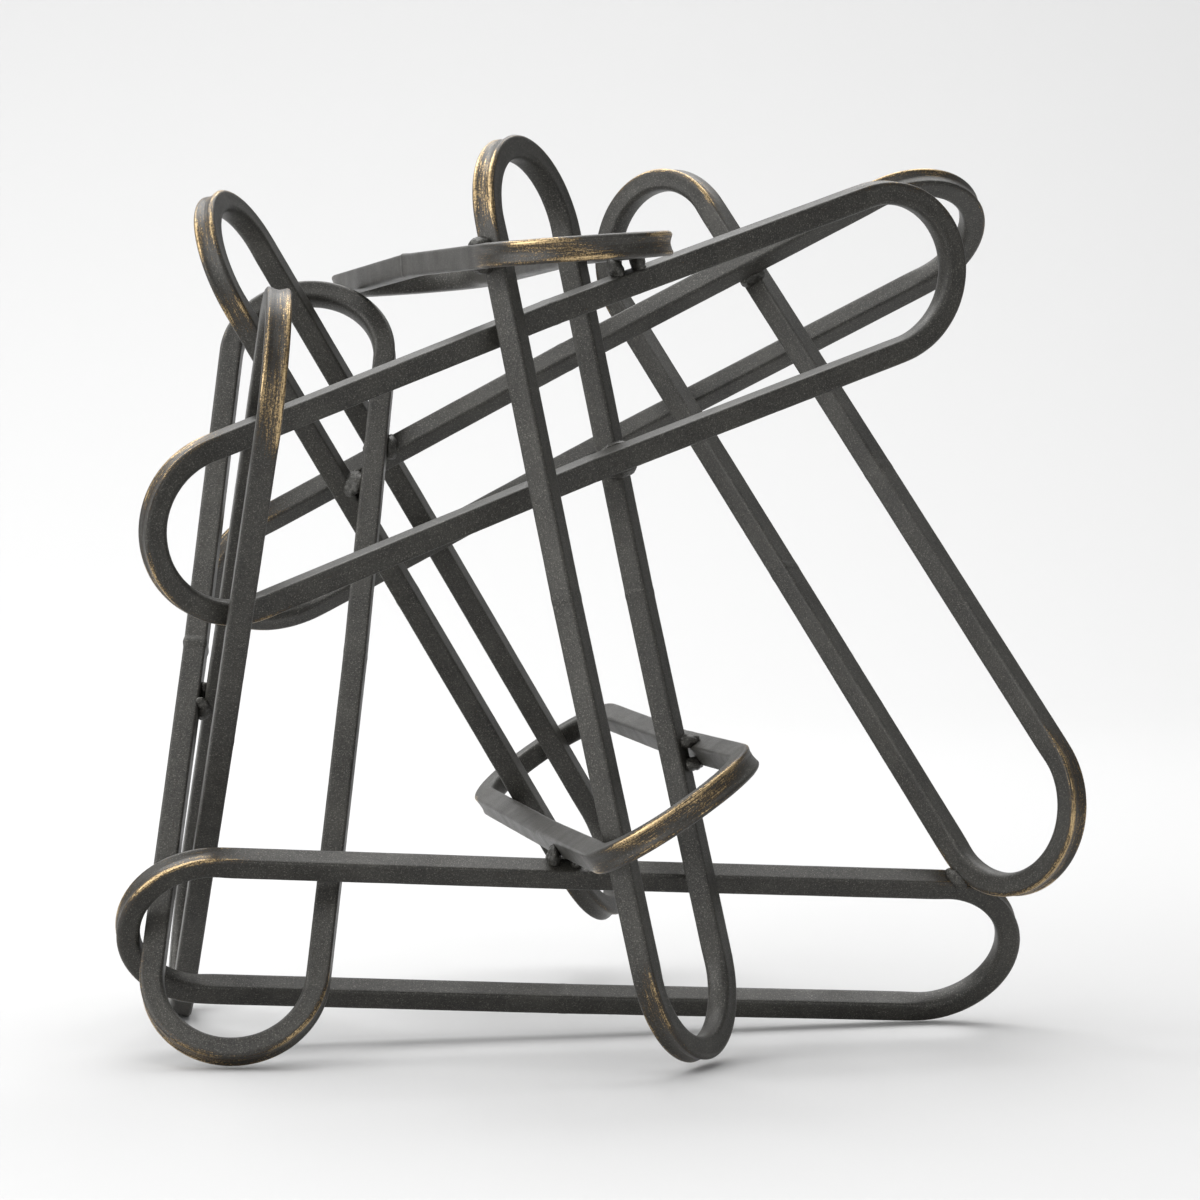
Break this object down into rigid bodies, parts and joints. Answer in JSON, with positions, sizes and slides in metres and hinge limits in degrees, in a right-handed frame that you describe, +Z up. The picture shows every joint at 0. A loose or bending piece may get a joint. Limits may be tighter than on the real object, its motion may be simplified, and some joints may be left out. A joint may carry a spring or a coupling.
{
  "type": "threaded link table sculpture",
  "caption": "Rigid table-top sculpture of long round-ended links in dark square tube, threaded through one another and welded, standing on the ends of its lower links.",
  "frame": {"origin": "on the surface that the sculpture stands on, under the centre of its bounding box", "axes": "+Z up, +Y away from the front, +X to the right seen from the front"},
  "size_m": [0.4162, 0.4236, 0.3932],
  "materials": {
    "powder_coated_tube": "fine-textured bronze-black powder coat with rubbed gold on the bends",
    "butt_weld": "dressed butt weld under the same powder coat",
    "fillet_weld": "small fillet weld under the same powder coat"
  },
  "bodies": {
    "root": {"base_link_butt_weld_1": "butt_weld", "base_link_butt_weld_2": "butt_weld", "base_link_foot_half": "powder_coated_tube", "base_link_head_half": "powder_coated_tube", "centre_upright_link_butt_weld_1": "butt_weld", "centre_upright_link_butt_weld_2": "butt_weld", "centre_upright_link_foot_half": "powder_coated_tube", "centre_upright_link_head_half": "powder_coated_tube", "front_slanting_link_butt_weld_1": "butt_weld", "front_slanting_link_butt_weld_2": "butt_weld", "front_slanting_link_foot_half": "powder_coated_tube", "front_slanting_link_head_half": "powder_coated_tube", "inner_link_butt_weld_1": "butt_weld", "inner_link_butt_weld_2": "butt_weld", "inner_link_foot_half": "powder_coated_tube", "inner_link_head_half": "powder_coated_tube", "left_diagonal_link_butt_weld_1": "butt_weld", "left_diagonal_link_butt_weld_2": "butt_weld", "left_diagonal_link_foot_half": "powder_coated_tube", "left_diagonal_link_head_half": "powder_coated_tube", "left_upright_link_butt_weld_1": "butt_weld", "left_upright_link_butt_weld_2": "butt_weld", "left_upright_link_foot_half": "powder_coated_tube", "left_upright_link_head_half": "powder_coated_tube", "rear_slanting_link_butt_weld_1": "butt_weld", "rear_slanting_link_butt_weld_2": "butt_weld", "rear_slanting_link_foot_half": "powder_coated_tube", "rear_slanting_link_head_half": "powder_coated_tube", "right_diagonal_link_butt_weld_1": "butt_weld", "right_diagonal_link_butt_weld_2": "butt_weld", "right_diagonal_link_foot_half": "powder_coated_tube", "right_diagonal_link_head_half": "powder_coated_tube", "threading_link_butt_weld_1": "butt_weld", "threading_link_butt_weld_2": "butt_weld", "threading_link_foot_half": "powder_coated_tube", "threading_link_head_half": "powder_coated_tube", "top_link_butt_weld_1": "butt_weld", "top_link_butt_weld_2": "butt_weld", "top_link_foot_half": "powder_coated_tube", "top_link_head_half": "powder_coated_tube", "weld_front_slanting_to_centre_upright_1": "fillet_weld", "weld_front_slanting_to_centre_upright_2": "fillet_weld", "weld_inner_to_base_1": "fillet_weld", "weld_inner_to_base_2": "fillet_weld", "weld_inner_to_centre_upright_1": "fillet_weld", "weld_inner_to_centre_upright_2": "fillet_weld", "weld_left_upright_to_left_diagonal_1": "fillet_weld", "weld_left_upright_to_left_diagonal_2": "fillet_weld", "weld_left_upright_to_rear_slanting_1": "fillet_weld", "weld_left_upright_to_rear_slanting_2": "fillet_weld", "weld_rear_slanting_to_right_diagonal_1": "fillet_weld", "weld_rear_slanting_to_right_diagonal_2": "fillet_weld", "weld_right_diagonal_to_base_1": "fillet_weld", "weld_right_diagonal_to_base_2": "fillet_weld", "weld_threading_to_left_upright_1": "fillet_weld", "weld_threading_to_left_upright_2": "fillet_weld", "weld_top_to_centre_upright_1": "fillet_weld", "weld_top_to_centre_upright_2": "fillet_weld", "weld_top_to_front_slanting_1": "fillet_weld", "weld_top_to_front_slanting_2": "fillet_weld"}
  },
  "joints": []
}
